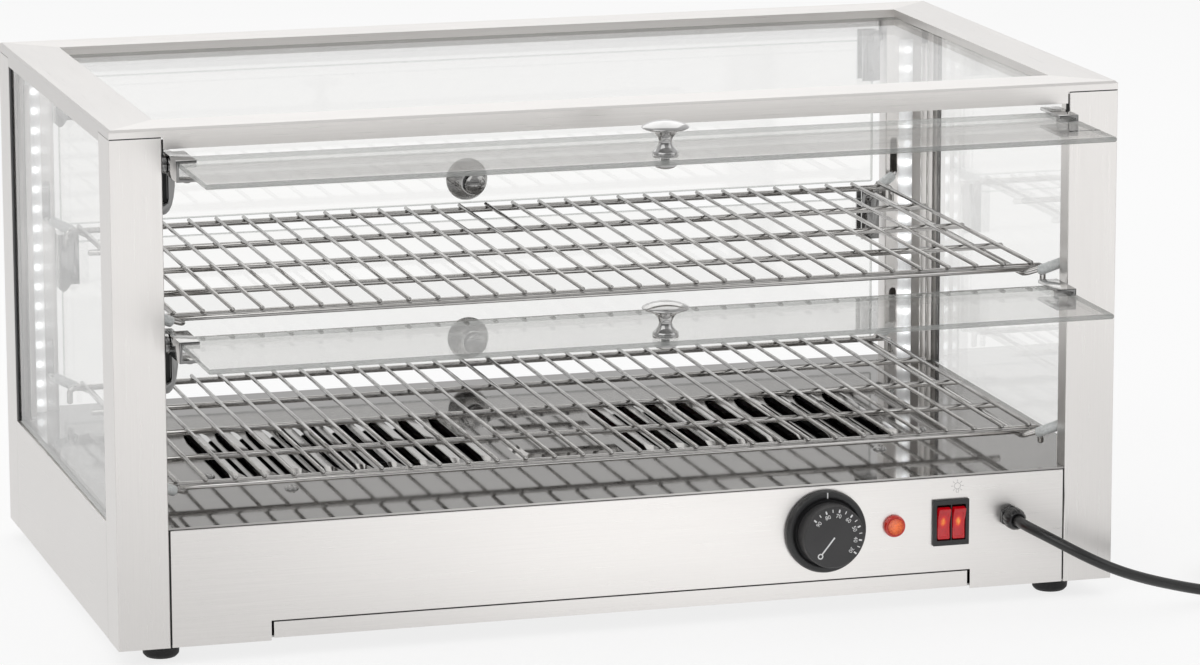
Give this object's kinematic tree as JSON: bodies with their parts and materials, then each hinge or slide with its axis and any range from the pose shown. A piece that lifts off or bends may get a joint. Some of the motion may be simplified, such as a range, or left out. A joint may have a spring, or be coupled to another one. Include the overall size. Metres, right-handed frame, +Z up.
{
  "type": "heated display cabinet",
  "caption": "Counter-top heated display cabinet with glass sides, glass top, top-hinged glass flaps front and rear, wire racks, louvred floor, crumb tray and a mains cord.",
  "frame": {"origin": "centre of the bounding box of the cabinet, without its mains cord, on the table surface", "axes": "+X to the right as the customer-side controls are faced, +Y from the front to the back, +Z up"},
  "size_m": [1.0533, 0.6046, 0.4179],
  "materials": {
    "brushed_steel_sheet": "fine brushed stainless sheet",
    "polished_steel_plate": "mirror-polished stainless plate",
    "chrome_fittings": "bright plated",
    "clear_glass": "clear toughened glass",
    "black_plastic": "black moulded, satin",
    "black_rubber": "black, matt",
    "red_switch_plastic": "clear red, lit from behind",
    "amber_lamp_plastic": "clear orange-red, lit from behind",
    "white_plastic": "white moulded",
    "dark_metal": "dark oxidised"
  },
  "bodies": {
    "cabinet": {"post_front_left": "brushed_steel_sheet", "foot_front_left": "black_rubber", "post_front_right": "brushed_steel_sheet", "foot_front_right": "black_rubber", "post_rear_left": "brushed_steel_sheet", "foot_rear_left": "black_rubber", "post_rear_right": "brushed_steel_sheet", "foot_rear_right": "black_rubber", "upper_front_door_hinge": "chrome_fittings", "upper_rear_door_hinge": "chrome_fittings", "lower_front_door_hinge": "chrome_fittings", "lower_rear_door_hinge": "chrome_fittings", "top_cap": "brushed_steel_sheet", "side_panel_left": "brushed_steel_sheet", "side_panel_right": "brushed_steel_sheet", "rear_panel": "brushed_steel_sheet", "control_panel": "brushed_steel_sheet", "base_pan": "brushed_steel_sheet", "floor_plate": "polished_steel_plate", "top_glass": "clear_glass", "side_glass_left": "clear_glass", "side_glass_right": "clear_glass", "dial_bezel": "black_plastic", "thermostat_body": "dark_metal", "pilot_lamp": "amber_lamp_plastic", "switch_housing": "black_plastic", "cable_gland": "black_plastic", "cord_lead": "black_rubber", "cord_coil": "black_rubber", "mains_plug": "black_plastic", "heating_element_left": "dark_metal", "heating_element_right": "dark_metal", "lamp_driver": "dark_metal", "terminal_block": "white_plastic", "light_strip_left": "white_plastic", "light_strip_right": "white_plastic"},
    "crumb_tray": {"crumb_tray": "brushed_steel_sheet"},
    "thermostat_dial": {"thermostat_knob": "black_plastic"},
    "left_rocker": {"rocker_left": "red_switch_plastic"},
    "right_rocker": {"rocker_right": "red_switch_plastic"},
    "upper_rack": {"upper_rack": "chrome_fittings"},
    "lower_rack": {"lower_rack": "chrome_fittings"},
    "upper_front_door": {"upper_front_door_glass": "clear_glass", "upper_front_door_knob": "chrome_fittings", "upper_front_door_clamp_left": "chrome_fittings", "upper_front_door_clamp_right": "chrome_fittings"},
    "upper_rear_door": {"upper_rear_door_glass": "clear_glass", "upper_rear_door_knob": "chrome_fittings", "upper_rear_door_clamp_left": "chrome_fittings", "upper_rear_door_clamp_right": "chrome_fittings"},
    "lower_front_door": {"lower_front_door_glass": "clear_glass", "lower_front_door_knob": "chrome_fittings", "lower_front_door_clamp_left": "chrome_fittings", "lower_front_door_clamp_right": "chrome_fittings"},
    "lower_rear_door": {"lower_rear_door_glass": "clear_glass", "lower_rear_door_knob": "chrome_fittings", "lower_rear_door_clamp_left": "chrome_fittings", "lower_rear_door_clamp_right": "chrome_fittings"}
  },
  "joints": [
    {"name": "upper_front_door_hinge", "type": "hinge", "parent": "cabinet", "child": "upper_front_door", "pos_m": [0, -0.17545, 0.385], "axis": [1, 0, 0], "range_deg": [0, 90]},
    {"name": "upper_rear_door_hinge", "type": "hinge", "parent": "cabinet", "child": "upper_rear_door", "pos_m": [0, 0.26855, 0.385], "axis": [1, 0, 0], "range_deg": [0, 90]},
    {"name": "lower_front_door_hinge", "type": "hinge", "parent": "cabinet", "child": "lower_front_door", "pos_m": [0, -0.17545, 0.248], "axis": [1, 0, 0], "range_deg": [0, 90]},
    {"name": "lower_rear_door_hinge", "type": "hinge", "parent": "cabinet", "child": "lower_rear_door", "pos_m": [0, 0.26855, 0.248], "axis": [1, 0, 0], "range_deg": [0, 90]},
    {"name": "crumb_tray_slide", "type": "slide", "parent": "cabinet", "child": "crumb_tray", "axis": [0, -1, 0], "range_m": [0, 0.36]},
    {"name": "thermostat_turn", "type": "hinge", "parent": "cabinet", "child": "thermostat_dial", "pos_m": [0.161, -0.18145, 0.069], "axis": [0, 1, 0], "range_deg": [0, 290]},
    {"name": "left_rocker_tilt", "type": "hinge", "parent": "cabinet", "child": "left_rocker", "pos_m": [0.2585, -0.18095, 0.069], "axis": [-1, 0, 0], "range_deg": [0, 18]},
    {"name": "right_rocker_tilt", "type": "hinge", "parent": "cabinet", "child": "right_rocker", "pos_m": [0.2709, -0.18095, 0.069], "axis": [-1, 0, 0], "range_deg": [0, 18]},
    {"name": "upper_rack_lift", "type": "slide", "parent": "cabinet", "child": "upper_rack", "axis": [0, 0, 1], "range_m": [0, 0.02]},
    {"name": "lower_rack_lift", "type": "slide", "parent": "cabinet", "child": "lower_rack", "axis": [0, 0, 1], "range_m": [0, 0.02]}
  ]
}
